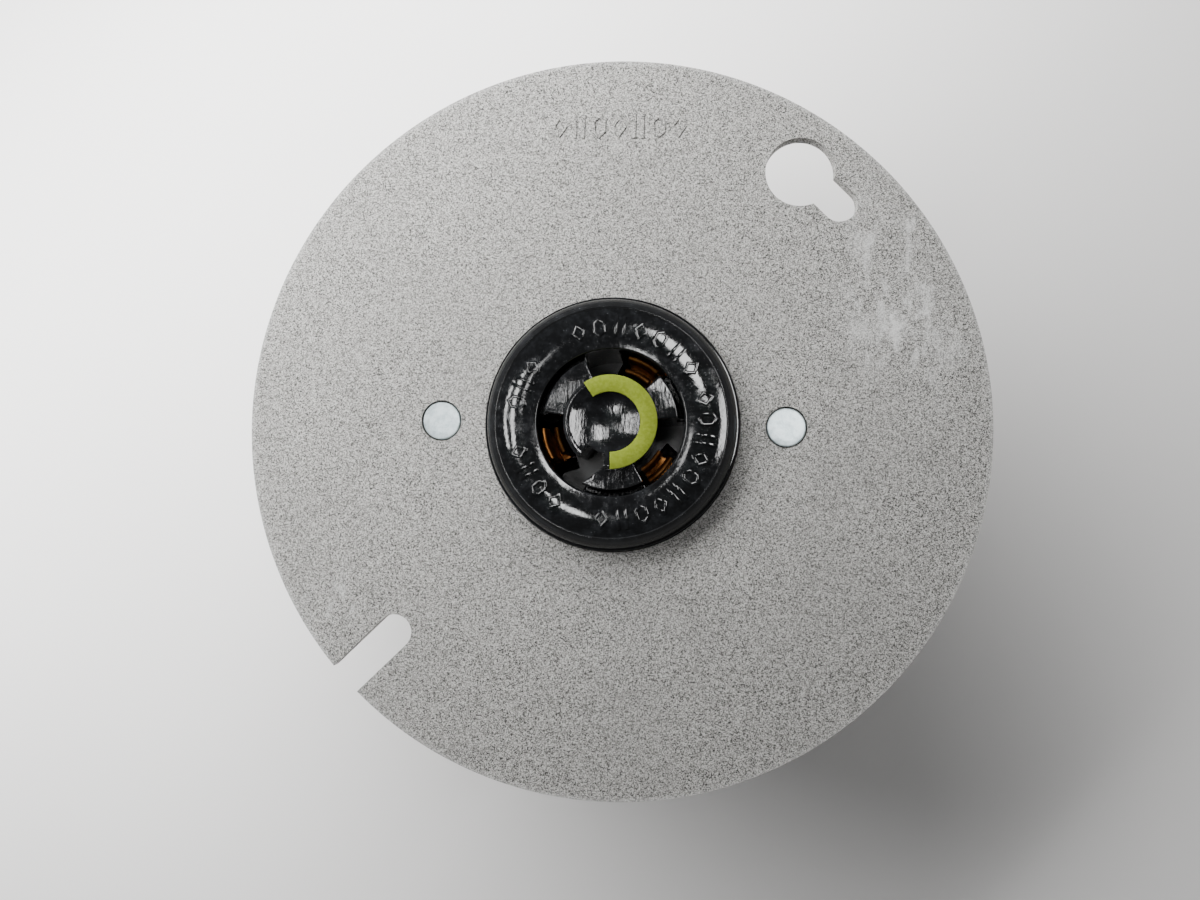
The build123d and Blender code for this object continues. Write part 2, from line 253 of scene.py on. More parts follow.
# %% [markdown]
# ## Modifiers, cutting and joining
# A modifier is applied as soon as it is set, so that the next step works on its result. Holes are
# cut by solids that stand where a drill or a punch would go, and welded pieces become one by a
# union. The last tool shades a piece, gives it its finish and ties it to its body in the frame.

# %% Modifiers, cutting and joining
def modify(piece, kind, **settings):
    """Adds a modifier, sets it and applies it."""
    choose(piece)
    modifier = piece.modifiers.new(kind.lower(), kind)
    for setting, value in settings.items():
        setattr(modifier, setting, value)
    bpy.ops.object.modifier_apply(modifier=modifier.name)
    return piece


def boolean(piece, other, operation):
    modify(piece, "BOOLEAN", object=other, operation=operation, solver="EXACT")
    bpy.data.objects.remove(other)
    return piece


def carve(piece, *cutters):
    for cutter in cutters:
        boolean(piece, cutter, "DIFFERENCE")
    return piece


def weld(piece, *others):
    for other in others:
        boolean(piece, other, "UNION")
    return piece


def close_up(piece):
    """Merges points that lie on each other and fills the pinholes that cutting can leave."""
    with editing(piece):
        bpy.ops.mesh.select_all(action="SELECT")
        bpy.ops.mesh.remove_doubles(threshold=2e-7)
        bpy.ops.mesh.select_all(action="SELECT")
        bpy.ops.mesh.fill_holes(sides=8)
    return piece


def soften(piece, width, segments=2, angle=40):
    """Rounds every edge sharper than an angle, as tumbling, moulding or stamping does."""
    return modify(
        piece, "BEVEL", width=width * MM, segments=segments, limit_method="ANGLE",
        angle_limit=radians(angle), use_clamp_overlap=True, miter_outer="MITER_ARC",
    )


def copied(piece, name, move=Matrix.Identity(4)):
    """A copy with its own mesh, moved in its mesh."""
    twin = piece.copy()
    twin.data = piece.data.copy()
    twin.name = twin.data.name = name
    bpy.context.collection.objects.link(twin)
    twin.data.transform(move)
    return twin


def ready(piece, finish, body, node=None, smooth=35):
    """Shades a piece, gives it its finish, hangs it under its body's empty and hides the CAD part that
    it stands for.
    """
    choose(piece)
    bpy.ops.object.shade_smooth_by_angle(angle=radians(smooth))
    modify(piece, "WEIGHTED_NORMAL", keep_sharp=True, weight=80)
    piece.data.materials.clear()
    piece.data.materials.append(finish)
    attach(piece, body)
    if node:
        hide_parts(node)
    print(f"{piece.name}: {len(piece.data.polygons)} faces on {body}")
    return piece


# %% [markdown]
# ## Sizes that the pieces share
# Heights and radii are read off the frame wherever a node's box or a mount gives them. The few
# that no box shows, such as the ring's opening, are named here once, in millimetres.

# %% Shared sizes
def low_high(node):
    low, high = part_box(node)
    return Vector(low) / MM, Vector(high) / MM


plate_high = low_high("cover_plate")[1]
plate_radius = plate_high.x
plate_front = plate_high.z
body_radius = low_high("base_housing")[1].y
flange_front = low_high("mounting_strap")[0].z
flange_back = low_high("face_housing")[0].z
core_low, core_high = low_high("contact_core")
core_block_radius = core_high.x
base_back = low_high("base_housing")[0].z
rear_level = low_high("rear_cover")[0].z
mark_low, mark_high = low_high("colour_mark")
core_radius = 6.5
face_radius = 17.87
face_gap = 0.18
face_level = plate_front + 3.0
ring_radius = 10.22
ring_back = face_level - 3.2
cup_radius = core_block_radius + 0.2
well_radius = 10.4
bridge_radius = 9.37
bridge_level = plate_front + 2.8
groove_floor = ring_back - 4.1
print(f"plate {2 * plate_radius:.1f} mm across, body {-rear_level:.1f} mm deep behind it")

# %% [markdown]
# ## Writing finishes as sums
# A finish is a node tree, but it reads better as arithmetic. A Signal wraps one output socket, so
# that `1 - speckle * 0.3` adds the Math nodes itself. A Finish adds every other node through one
# method: first the node's settings, then what feeds its sockets. Sizes inside a finish are per
# metre, because its patterns lie on Object coordinates and the object is in metres.

# %% Signal and Finish
class Signal:
    """One output of a node, which can be written in sums."""

    def __init__(self, finish, socket):
        self.finish = finish
        self.socket = socket

    def maths(self, operation, first, second):
        return self.finish.add("ShaderNodeMath", {"operation": operation}, {0: first, 1: second})

    def __add__(self, other):
        return self.maths("ADD", self, other)

    def __sub__(self, other):
        return self.maths("SUBTRACT", self, other)

    def __rsub__(self, other):
        return self.maths("SUBTRACT", other, self)

    def __mul__(self, other):
        return self.maths("MULTIPLY", self, other)

    def __pow__(self, other):
        return self.maths("POWER", self, other)

    __radd__ = __add__
    __rmul__ = __mul__

    def between(self, low, high):
        """0 below low, 1 above high, and smooth between them."""
        settings = {"interpolation_type": "SMOOTHSTEP"}
        return self.finish.add("ShaderNodeMapRange", settings, {0: self, 1: low, 2: high})


class Finish:
    """A material: constants are set on its shader, and patterns are added to it."""

    def __init__(self, name, **constants):
        self.material = bpy.data.materials.new(name)
        self.material.use_nodes = True
        self.tree = self.material.node_tree
        self.shader = self.tree.nodes["Principled BSDF"]
        for name, value in constants.items():
            self.shader.inputs[name.replace("_", " ")].default_value = value
        self.place = self.add("ShaderNodeTexCoord", output="Object")

    def add(self, kind, settings=None, sockets=None, output=0):
        """Adds a node: its settings first, then values or signals for its sockets."""
        node = self.tree.nodes.new(kind)
        for setting, value in (settings or {}).items():
            if setting == "stops":
                self.set_stops(node.color_ramp, value)
            else:
                setattr(node, setting, value)
        for socket, value in (sockets or {}).items():
            self.feed(node.inputs[socket], value)
        return Signal(self, node.outputs[output])

    def feed(self, socket, value):
        if isinstance(value, Signal):
            self.tree.links.new(value.socket, socket)
        else:
            socket.default_value = value

    @staticmethod
    def set_stops(ramp, stops):
        for _ in stops[2:]:
            ramp.elements.new(0.5)
        for element, (position, colour) in zip(ramp.elements, stops):
            element.position = position
            element.color = (*colour, 1.0)

    def noise(self, scale, detail=2.0, rough=0.5, stretch=None):
        """A cloud of the given number of lumps per metre, from 0 to 1."""
        place = self.place
        if stretch:
            place = self.add("ShaderNodeMapping", None, {"Vector": place, "Scale": stretch})
        sockets = {"Vector": place, "Scale": scale, "Detail": detail, "Roughness": rough}
        return self.add("ShaderNodeTexNoise", None, sockets)

    def cells(self, scale):
        sockets = {"Vector": self.place, "Scale": scale}
        return self.add("ShaderNodeTexVoronoi", None, sockets)

    def axis(self, name):
        return self.add("ShaderNodeSeparateXYZ", None, {0: self.place}, output=name)

    def spot(self, centre, size):
        """1 in the middle of a round or oval patch and 0 outside it, centre and size in mm."""
        shift = self.add(
            "ShaderNodeMapping", None,
            {
                "Vector": self.place,
                "Location": [-value / extent for value, extent in zip(centre, size)],
                "Scale": [1 / (extent * MM) for extent in size],
            },
        )
        length = self.add("ShaderNodeVectorMath", {"operation": "LENGTH"}, {0: shift}, output="Value")
        return 1 - length.between(0.3, 1.0)

    def mix(self, first, second, share):
        """Two colours, or a colour and a signal, mixed by a share."""
        settings = {"data_type": "RGBA"}
        return self.add(
            "ShaderNodeMix", settings, {0: share, 6: colour(first), 7: colour(second)}, output=2
        )

    def bump(self, height, depth_mm, under=None):
        """A bump of a real depth in millimetres for a height from 0 to 1."""
        sockets = {"Height": height, "Distance": depth_mm * MM, "Strength": 1.0}
        if under:
            sockets["Normal"] = under
        return self.add("ShaderNodeBump", None, sockets)

    def wear(self, **signals):
        """Feeds signals to the shader's own sockets by name and returns the material."""
        for name, signal in signals.items():
            self.feed(self.shader.inputs[name.replace("_", " ")], signal)
        return self.material


def colour(value):
    return value if isinstance(value, Signal) else (*value, 1.0)


print("finishes can be written as sums")

# %% [markdown]
# ## Blasted steel for the cover
# The cover looks like bead-blasted and plated sheet: a matte pale grey that sparkles from light to
# dark within half a millimetre. Two fine clouds of different grain make the sparkle; one changes
# how light the metal is and both dent it a few hundredths of a millimetre. Handling has left
# paler scuffs near the right edge and low on the left, and the punched rim is rubbed brighter.

# %% Blasted steel
scuff_places = (((41, 20, 2), (13, 22, 30)), ((-38, -31, 2), (9, 13, 30)))
rubbed_width = 0.9
sparkle_depth = 0.035


def blasted_steel():
    steel = Finish("blasted_steel", Metallic=0.12, Specular_IOR_Level=0.22)
    fine = steel.noise(5600, detail=2, rough=0.6)
    grain = steel.noise(3200, detail=2, rough=0.6)
    drift = steel.noise(45, detail=4, rough=0.6)
    sparkle = fine.between(0.40, 0.60) * 0.65 + grain.between(0.40, 0.60) * 0.35
    right_patch, left_patch = (steel.spot(*place) for place in scuff_places)
    streaks = steel.noise(260, detail=5, rough=0.75, stretch=(1.0, 0.45, 1.0))
    scuff = (right_patch + left_patch) * streaks.between(0.47, 0.66)
    x, y = steel.axis("X"), steel.axis("Y")
    rim = ((x * x + y * y) ** 0.5).between((plate_radius - rubbed_width) * MM, plate_radius * MM)
    body = steel.mix((0.018, 0.0177, 0.0165), (0.46, 0.453, 0.432), sparkle)
    body = steel.mix(body, (0.20, 0.197, 0.188), drift.between(0.35, 0.75) * 0.2)
    body = steel.mix(body, (0.55, 0.55, 0.54), scuff * 0.6)
    body = steel.mix(body, (0.48, 0.48, 0.47), rim * 0.2)
    dents = steel.bump(fine * 0.4 + grain * 0.6, sparkle_depth)
    return steel.wear(
        Base_Color=body, Roughness=0.62 - sparkle * 0.16 - scuff * 0.08, Normal=dents
    )


steel_finish = blasted_steel()
print("finish:", steel_finish.name, len(steel_finish.node_tree.nodes), "nodes")

# %% [markdown]
# ## The cover plate
# The cover is one disc punched out of 2 mm sheet. A disc at full size is cut by solids that stand
# where the punches went: a keyhole that lets the cover be twisted off loose screws, an open slot,
# the middle hole and two stepped rivet holes. Booleans suit this, because a punch is a boolean.
# A bevel then rounds every rim a little, as blasting does.

# %% Cover plate
PAST = 1.0
open_slot_angle = 225.0
plate_sides = 256
punched_round = 0.16
rivet_gap = 0.23
shank_radius = 1.75
shank_gap = 0.1


def moved(piece, x, y, z=0.0):
    piece.data.transform(Matrix.Translation(Vector((x, y, z)) * MM))
    return piece


def lane(name, x, y, angle, length, width, low, high):
    """A block that runs from a point along an angle, seen from above."""
    return moved(turned(bar(name, 0, length, width / 2, low, high), angle), x, y)


def mount_circle(name):
    """Middle and radius of a mount that is a hole, in millimetres."""
    x, y, _ = mounts[name]["pos_m"]
    return x / MM, y / MM, mounts[name]["dims"]["r_mm"]


entry_x, entry_y, entry_radius = mount_circle("keyhole_entry")
seat_x, seat_y, slot_radius = mount_circle("keyhole_seat")
end_x, end_y, _ = mount_circle("open_slot_end")
seat_angle = degrees(atan2(seat_y, seat_x))
neck_length = hypot(entry_x - seat_x, entry_y - seat_y)
through = (-PAST, plate_front + PAST)
rivet_low, rivet_high = low_high("rivet_right")
rivet_x = (rivet_low.x + rivet_high.x) / 2
rivet_radius = 2.675
rivet_head_back = plate_front - 1.2

cover = rod("steel_cover", plate_radius, 0, plate_front, sides=plate_sides)
carve(
    cover,
    rod("entry_punch", entry_radius, *through, entry_x, entry_y),
    rod("seat_punch", slot_radius, *through, seat_x, seat_y, sides=64),
    lane("neck_punch", seat_x, seat_y, seat_angle + 90, neck_length, 2 * slot_radius, *through),
    rod("slot_punch", slot_radius, *through, end_x, end_y, sides=64),
    lane("slot_lane", end_x, end_y, open_slot_angle, plate_radius, 2 * slot_radius, *through),
    rod("face_punch", face_radius + face_gap, *through),
)
head_recess = (rivet_radius + rivet_gap, rivet_head_back, plate_front + PAST)
carve(cover, *twin_rods("shank_punch", shank_radius + shank_gap, *through, x=rivet_x))
carve(cover, *twin_rods("head_punch", *head_recess, x=rivet_x, sides=64))
soften(cover, punched_round, segments=3)
ready(cover, steel_finish, "root", "cover_plate")

# %% [markdown]
# ## Pressed marks on the cover
# A row of small raised marks is pressed into the cover near its top edge. They are generic: thin
# upright lozenges and pairs of bars. Each is a flat frame, made by an inset, and Solidify with a
# small bevel turns it into a pressed ridge that fades softly into the sheet.

# %% Raised marks
mark_stroke = 0.46


def lozenge(name, sides, width, height):
    """A flat frame with pointed ends, upright along Y."""
    deselect()
    bpy.ops.mesh.primitive_circle_add(vertices=sides, radius=0.5 * MM, fill_type="NGON")
    piece = bpy.context.object
    piece.scale = (width, height, 1)
    placed(name)
    with editing(piece):
        bpy.ops.mesh.select_all(action="SELECT")
        bpy.ops.mesh.inset(thickness=mark_stroke * MM)
        bpy.ops.mesh.delete(type="FACE")
    return piece


def upright_bars(name, width, height):
    """Two flat upright bars side by side."""
    bars = []
    for side in (-1, 1):
        deselect()
        middle = side * (width - mark_stroke) / 2
        bpy.ops.mesh.primitive_plane_add(size=MM, location=(middle * MM, 0, 0))
        bpy.context.object.scale = (mark_stroke, height, 1)
        bars.append(placed(name))
    return joined(name, bars)


def joined(name, pieces):
    """One object from several."""
    deselect()
    for piece in pieces:
        piece.select_set(True)
    bpy.context.view_layer.objects.active = pieces[0]
    bpy.ops.object.join()
    pieces[0].name = pieces[0].data.name = name
    return pieces[0]


def mark_at(place, width, height):
    """The mark for a place in a row: lozenges and bars take turns."""
    if place % 3 == 1:
        return upright_bars("bars", width * 0.72, height)
    return lozenge("lozenge", 4 if place % 3 == 0 else 6, width, height)


cover_mark_count = 7
cover_mark_size = (2.3, 3.5)
cover_mark_pitch = 2.85
cover_mark_y = 42.8
cover_mark_rise = 0.14

row = []
for place in range(cover_mark_count):
    x = (place - (cover_mark_count - 1) / 2) * cover_mark_pitch
    row.append(moved(mark_at(place, *cover_mark_size), x, cover_mark_y, plate_front))
cover_marks = joined("cover_marks", row)
modify(cover_marks, "SOLIDIFY", thickness=2 * cover_mark_rise * MM, offset=0.0)
soften(cover_marks, 0.1, segments=3)
ready(cover_marks, steel_finish, "root")

# %% [markdown]
# ## Zinc finish and the two rivets
# The rivets hold the receptacle's strap to the cover. Their flat heads sit level with the sheet in
# shallow recesses, so each shows as a pale disc with a thin dark ring. Turning one outline makes
# head, shank and the tail that was rolled over behind the strap. The head is a little domed and
# its face is mottled by zinc plating, bluish next to the warmer sheet.

# %% Zinc and rivets
def zinc_plate():
    zinc = Finish("zinc_plate", Metallic=0.75)
    cloud = zinc.noise(900, detail=4, rough=0.65)
    spangle = zinc.cells(1500)
    wipe = zinc.noise(2200, detail=3, rough=0.6, stretch=(1.0, 0.3, 1.0))
    body = zinc.mix((0.54, 0.64, 0.67), (0.86, 0.97, 1.0), cloud.between(0.3, 0.65))
    body = zinc.mix(body, (0.42, 0.48, 0.50), wipe.between(0.58, 0.75) * 0.5)
    return zinc.wear(
        Base_Color=body,
        Roughness=0.34 + cloud * 0.22,
        Normal=zinc.bump(cloud * 0.7 + spangle * 0.3, 0.03),
    )


zinc_finish = zinc_plate()
strap_back = low_high("mounting_strap")[0].z
tail_radius = 2.8
tail_end = rivet_low.z
bore_radius = 1.1
bore_depth = 1.7
bore_point = 0.4
head_flat_radius, head_fall = 1.6, 0.012
head_edge = 0.22
tail_round = 0.45
tail_edge = strap_back - 0.5

rivet_outline = (
    [(0, plate_front), (head_flat_radius, plate_front - head_fall)]
    + arc((rivet_radius - head_edge, plate_front - head_edge - 0.03), head_edge, 80, 0)
    + [(rivet_radius, rivet_head_back), (shank_radius, rivet_head_back)]
    + [(shank_radius, strap_back), (tail_radius, strap_back)]
    + arc((tail_radius - tail_round, tail_edge), tail_round, 0, -90)
    + arc((bore_radius + tail_round, tail_end + tail_round), tail_round, 270, 180)
    + [(bore_radius, tail_end + bore_depth - bore_point), (0, tail_end + bore_depth)]
)
left_rivet = moved(spun("zinc_rivet_left", rivet_outline), -rivet_x, 0)
right_rivet = copied(left_rivet, "zinc_rivet_right", Matrix.Translation((2 * rivet_x * MM, 0, 0)))
ready(left_rivet, zinc_finish, "root", "rivet_left")
ready(right_rivet, zinc_finish, "root", "rivet_right")

# %% [markdown]
# ## Glossy black moulding
# The face is moulded in black thermoset with a bright polish. Such a face is never quite flat: it
# ripples by a few hundredths of a millimetre over some millimetres, and that breaks a lamp's
# reflection into the wavy streaks that make it look real. A finer peel and faint handling dust
# change the roughness a little from place to place. The core also has flow lines that run one way.

# %% Black moulding
def black_moulding(name, ripple_mm, roughness, dust, streak_mm=0.0):
    black = Finish(name, Metallic=0.0, Specular_IOR_Level=0.55)
    ripple = black.noise(230, detail=1.0, rough=0.4)
    peel = black.noise(2600, detail=2, rough=0.5)
    cloud = black.noise(700, detail=4, rough=0.7)
    specks = black.cells(2400)
    speck = 1 - specks.between(0.06, 0.16)
    body = black.mix((0.0035, 0.0037, 0.004), (0.010, 0.0108, 0.012), cloud.between(0.4, 0.75))
    body = black.mix(body, (0.12, 0.13, 0.14), speck * cloud.between(0.5, 0.62) * dust)
    rough = cloud.between(0.4, 0.75) * 0.08 + roughness + speck * 0.2
    streaks = black.noise(1500, detail=3, rough=0.6, stretch=(1.0, 0.18, 1.0))
    lower = black.bump(peel, 0.004, under=black.bump(streaks, streak_mm))
    return black.wear(
        Base_Color=body, Roughness=rough, Normal=black.bump(ripple, ripple_mm, under=lower)
    )


face_finish = black_moulding("black_gloss", ripple_mm=0.05, roughness=0.05, dust=0.35)
core_finish = black_moulding(
    "black_core_gloss", ripple_mm=0.08, roughness=0.06, dust=0.4, streak_mm=0.03
)
body_finish = black_moulding("black_body", ripple_mm=0.02, roughness=0.34, dust=0.5)
print("finishes:", face_finish.name, core_finish.name, body_finish.name)

# %% [markdown]
# ## The face ring
# The ring that a plug turns in is the front of a cup with a wide flange behind the cover. It is
# round all over, so one outline is spun: the wall, the narrow foot step, the rolled shoulder, a
# shallow step down to the crowned face, the rounded lip of the opening, and the cup behind it.
# Holes for rivet tails and long screws are cut through the flange afterwards.

# %% Face ring
foot_level = plate_front + 0.75
foot_round = 0.12
shoulder_inset = 0.35
shoulder_fillet = 0.05
shoulder_round = 2.0
crest_radius = 16.2
crest_round = 0.12
step_radius = 15.9
step_run = 0.08
step_drop = 0.1
crown_rise = 0.2
lip_round = 0.3
crown_foot = face_level - step_drop
screw_hole_radius = 1.6
screw_spot = low_high("assembly_screw_upper")
screw_y = (screw_spot[0].y + screw_spot[1].y) / 2
tail_room = 0.15

fillet_centre = (
    face_radius - shoulder_inset - shoulder_fillet, foot_level + foot_round + shoulder_fillet
)
shoulder_centre = (
    face_radius - shoulder_round - shoulder_inset, foot_level + shoulder_inset
)
face_outline = (
    [(face_radius, flange_front), (face_radius, foot_level)]
    + arc((face_radius - foot_round, foot_level), foot_round, 0, 70, 3)
    + arc(fillet_centre, shoulder_fillet, 240, 160, 2)
    + arc(shoulder_centre, shoulder_round, 15, 72, 10)
    + arc((crest_radius - crest_round, face_level - step_drop), crest_round, 70, 130, 3)
    + [(step_radius, crown_foot)]
    + bow((step_radius - step_run, crown_foot), crown_rise, (ring_radius + lip_round, crown_foot))[1:-1]
    + arc((ring_radius + lip_round, crown_foot - lip_round), lip_round, 90, 180)
    + [(ring_radius, ring_back), (cup_radius, ring_back), (cup_radius, flange_back)]
    + [(body_radius, flange_back), (body_radius, flange_front)]
)
face = spun("black_face_ring", face_outline)
through_flange = (flange_back - PAST, flange_front + PAST)
carve(face, *twin_rods("tail_room", tail_radius + tail_room, *through_flange, x=rivet_x, sides=64))
carve(face, *twin_rods("screw_room", screw_hole_radius, *through_flange, y=screw_y))
print("crest at", round(max(vertex.co.z for vertex in face.data.vertices) / MM, 2), "mm")

# %% [markdown]
# ## Raised marks round the ring
# Groups of small raised marks run round the crowned face. They use the same generic lozenges and
# bars as the cover. Each is laid flat over its place, Shrinkwrap drops it onto the crown so that
# it follows the curve, and Solidify gives it a height of about a tenth of a millimetre.

# %% Ring marks
ring_mark_radius = 13.35
ring_mark_size = (2.2, 2.95)
ring_mark_rise = 0.11
mark_groups = [(35, 111, 7), (146, 169, 3), (199, 236, 4), (266, 375, 10)]

ring_row = []
for first, last, count in mark_groups:
    for place in range(count):
        angle = first + (last - first) * place / (count - 1)
        mark = moved(mark_at(place, *ring_mark_size), 0, ring_mark_radius, face_level + 1)
        ring_row.append(turned(mark, angle - 90))
ring_marks = joined("ring_marks", ring_row)
modify(ring_marks, "SUBSURF", subdivision_type="SIMPLE", levels=1, render_levels=1)
modify(
    ring_marks, "SHRINKWRAP", target=face, wrap_method="PROJECT", use_project_x=False,
    use_project_y=False, use_project_z=True, use_negative_direction=True,
    use_positive_direction=False,
)
modify(ring_marks, "SOLIDIFY", thickness=2 * ring_mark_rise * MM, offset=0.0)
soften(ring_marks, 0.07, angle=50)
ready(ring_marks, face_finish, "root")
ready(face, face_finish, "root", "face_housing")

# %% [markdown]
# ## The contact core
# Inside the ring stands a centre post, held by three bridges that leave three curved slots for
# the plug's blades. Post, block and bridges are spun from outlines and joined. Each runs a
# different way past the bottom, so that no two cut faces coincide, and one bisect trims them
# level. Another bisect slants one side of the third bridge. The post is dished, has a notch
# through its rim and a shallow seat for the colour mark.

# %% Contact core
bridge_edge = 0.25
bridge_round = 0.14
join_depth = 0.5
post_end, bridge_end, block_end = (core_low.z - overrun for overrun in (1.3, 1.0, 0.7))
block_front = ring_back - 0.1
notch_radius = 4.4
notch_angles = (228.0, 263.0)
dish_radius = 5.8
dish_depth = 0.9
dish_steps = 14
rim_round = 0.45
mark_angles = (-89.0, 125.5)
mark_inner = 4.15
bridge_spans = [(5.0, 45.0), (113.0, 172.5), (246.0, 300.0)]
slanted_from, slanted_to = (core_radius - join_depth, 264.0), (bridge_radius, 246.0)

ball_radius = (dish_radius**2 + dish_depth**2) / (2 * dish_depth)
dish_points = [
    (radius, core_high.z - dish_depth + ball_radius - sqrt(ball_radius**2 - radius**2))
    for radius in [dish_radius * step / dish_steps for step in range(dish_steps + 1)]
]
post_outline = (
    dish_points
    + arc((core_radius - rim_round, core_high.z - rim_round), rim_round, 90, 0)
    + [(core_radius, post_end), (0, post_end)]
)
bridge_outline = (
    [(core_radius - join_depth, bridge_end), (well_radius + join_depth, bridge_end)]
    + [(well_radius + join_depth, groove_floor), (bridge_radius, groove_floor)]
    + arc((bridge_radius - bridge_edge, bridge_level - bridge_edge), bridge_edge, 0, 90, 5)
    + [(core_radius - join_depth, bridge_level)]
)
block_outline = [
    (well_radius, block_end), (core_block_radius, block_end),
    (core_block_radius, block_front), (well_radius, block_front),
]


def polar(radius, angle):
    return Vector((radius * cos(radians(angle)), radius * sin(radians(angle)), 0))


def sector(name, inner, outer, low, high, first, last):
    return spun(name, [(inner, low), (outer, low), (outer, high), (inner, high)], first, last)


core = spun("black_core", post_outline)
beyond, above = core_radius + PAST, core_high.z + PAST
notch = sector("notch", notch_radius, beyond, core_low.z - 2 * PAST, above, *notch_angles)
mark_seat = sector("mark_seat", mark_inner, beyond, mark_low.z, above, *mark_angles)
carve(core, notch, mark_seat)
bridges = [spun("bridge", bridge_outline, *span) for span in bridge_spans]
with editing(bridges[2]):
    start, stop = polar(*slanted_from), polar(*slanted_to)
    side = (stop - start).cross(Vector((0, 0, 1))).normalized()
    bpy.ops.mesh.select_all(action="SELECT")
    bpy.ops.mesh.bisect(
        plane_co=start * MM, plane_no=side, use_fill=True, clear_inner=False, clear_outer=True
    )
for bridge in bridges:
    soften(bridge, bridge_round)
weld(core, *bridges, spun("core_block", block_outline))
with editing(core):
    bpy.ops.mesh.select_all(action="SELECT")
    bpy.ops.mesh.bisect(
        plane_co=(0, 0, core_low.z * MM), plane_no=(0, 0, 1), use_fill=True, clear_inner=True
    )
ready(close_up(core), core_finish, "root", "contact_core")

# %% [markdown]
# ## The colour mark
# A flat yellow-green C is let into the post's rim and tells which plug fits. It is printed or
# moulded colour with no gloss, slightly chalky, with a crisp edge. A spun sector with a tiny
# bevel gives its edge, and the finish is the one plain colour on the face, so it is kept calm.

# %% Colour mark
def mark_paint():
    paint = Finish("mark_green", Metallic=0.0, Specular_IOR_Level=0.05)
    chalk = paint.noise(1900, detail=4, rough=0.7)
    stain = paint.noise(420, detail=3, rough=0.6)
    body = paint.mix((0.13, 0.165, 0.016), (0.165, 0.205, 0.027), chalk.between(0.35, 0.65))
    body = paint.mix(body, (0.11, 0.13, 0.018), stain.between(0.5, 0.75) * 0.35)
    return paint.wear(
        Base_Color=body, Roughness=0.62 + chalk * 0.25, Normal=paint.bump(chalk, 0.012)
    )


mark_finish = mark_paint()
mark = sector("green_mark", mark_inner, core_radius, mark_low.z, mark_high.z, *mark_angles)
soften(mark, 0.08)
ready(mark, mark_finish, "root", "colour_mark")

# %% [markdown]
# ## Rolled and plated metals
# Everything else that is metal shares one family of finishes: a light and a dark tone of the same
# metal in soft clouds, fine scratches that run one way as rolling leaves them, and small dark
# specks of tarnish. Only the tones and the shine differ, so one function makes them all.

# %% Metal finishes
def rolled_metal(name, dark, light, roughness, along=(1.0, 1.0, 0.2), tarnish=0.5, metallic=1.0):
    metal = Finish(name, Metallic=metallic)
    cloud = metal.noise(650, detail=4, rough=0.65)
    scratch = metal.noise(5200, detail=2, rough=0.6, stretch=along)
    stain = metal.noise(1500, detail=3, rough=0.7)
    body = metal.mix(dark, light, cloud.between(0.3, 0.65))
    body = metal.mix(body, tuple(tone * 0.3 for tone in dark), stain.between(0.6, 0.78) * tarnish)
    rough = roughness + scratch * 0.14 + stain.between(0.55, 0.75) * 0.2
    return metal.wear(
        Base_Color=body, Roughness=rough, Normal=metal.bump(scratch * 0.6 + cloud * 0.4, 0.012)
    )


contact_finish = rolled_metal("contact_brass", (0.17, 0.06, 0.015), (0.36, 0.16, 0.05), 0.3)
bond_finish = rolled_metal("bond_brass", (0.55, 0.36, 0.12), (0.78, 0.56, 0.25), 0.3)
strap_finish = rolled_metal("strap_steel", (0.42, 0.44, 0.45), (0.66, 0.68, 0.68), 0.36)
clamp_finish = rolled_metal("clamp_steel", (0.48, 0.47, 0.40), (0.72, 0.70, 0.60), 0.32)
long_screw_finish = rolled_metal("screw_steel", (0.50, 0.51, 0.52), (0.78, 0.79, 0.80), 0.28)
pole_finishes = {
    "hot": rolled_metal("screw_brass", (0.60, 0.40, 0.12), (0.86, 0.63, 0.27), 0.26),
    "ground": rolled_metal(
        "screw_green", (0.015, 0.12, 0.05), (0.04, 0.25, 0.10), 0.3, tarnish=0.8, metallic=0.65
    ),
    "neutral": rolled_metal("screw_nickel", (0.60, 0.60, 0.57), (0.85, 0.85, 0.82), 0.22),
}
print("metal finishes:", 5 + len(pole_finishes))

# %% [markdown]
# ## Contacts
# Each slot holds a brass contact: two curved leaves that pinch the plug's blade, a foot that ties
# them together under the core, and a tapped tab that the terminal screw turns in. The leaves are
# one curved profile spun through 27 degrees about the middle of the face, the rest is straight
# strip. The terminals stand at the same angles as the wire holes, so the angles come from those.

# %% Contacts
poles = ("hot", "ground", "neutral")
blade_path = 8.7
leaf_span = 27.0
leaf_thick = 0.5
leaf_tip = 0.13
contact_thick = 1.2
foot_back = core_low.z - contact_thick
foot_half_width = 2.2
foot_inset = 0.04
tab_radius = 14.4
tab_face = tab_radius + contact_thick
tab_half_width = 3.6
tab_end = -21.0
collar_radius = 3.0
collar_length = 1.8
tapped_radius = 2.03
tapping_reach = (10, 17)
screw_level = -16.4
leaf_curve = [
    (0.65, core_low.z - 0.6), (0.65, -2.4), (0.60, -1.5), (0.47, -0.7), (0.37, 0.0), (0.35, 0.5),
    (0.38, 1.0), (0.46, 1.6), (0.58, 2.1), (0.72, 2.55),
]


def pole_angle(pole):
    spots = [mount_circle(f"{pole}_wire_hole_{letter}") for letter in "ab"]
    return degrees(atan2(sum(spot[1] for spot in spots), sum(spot[0] for spot in spots)))


def leaf(name, side):
    near = [(blade_path + side * offset, level) for offset, level in leaf_curve]
    far = [(radius + side * leaf_thick, level) for radius, level in near]
    tip = (near[-1][0] + side * leaf_thick / 2, near[-1][1] + leaf_tip)
    return spun(name, near + [tip] + far[::-1], -leaf_span / 2, leaf_span / 2)


def laid_along_x(piece):
    """Lays an upright piece along X at the height of the terminal screws."""
    piece.data.transform(Matrix.Rotation(radians(90), 4, "Y"))
    return moved(piece, 0, 0, screw_level)


def radial_rod(name, radius, near, far):
    """A cylinder that lies along X between two distances from the middle."""
    return laid_along_x(rod(name, radius, near, far, sides=64))


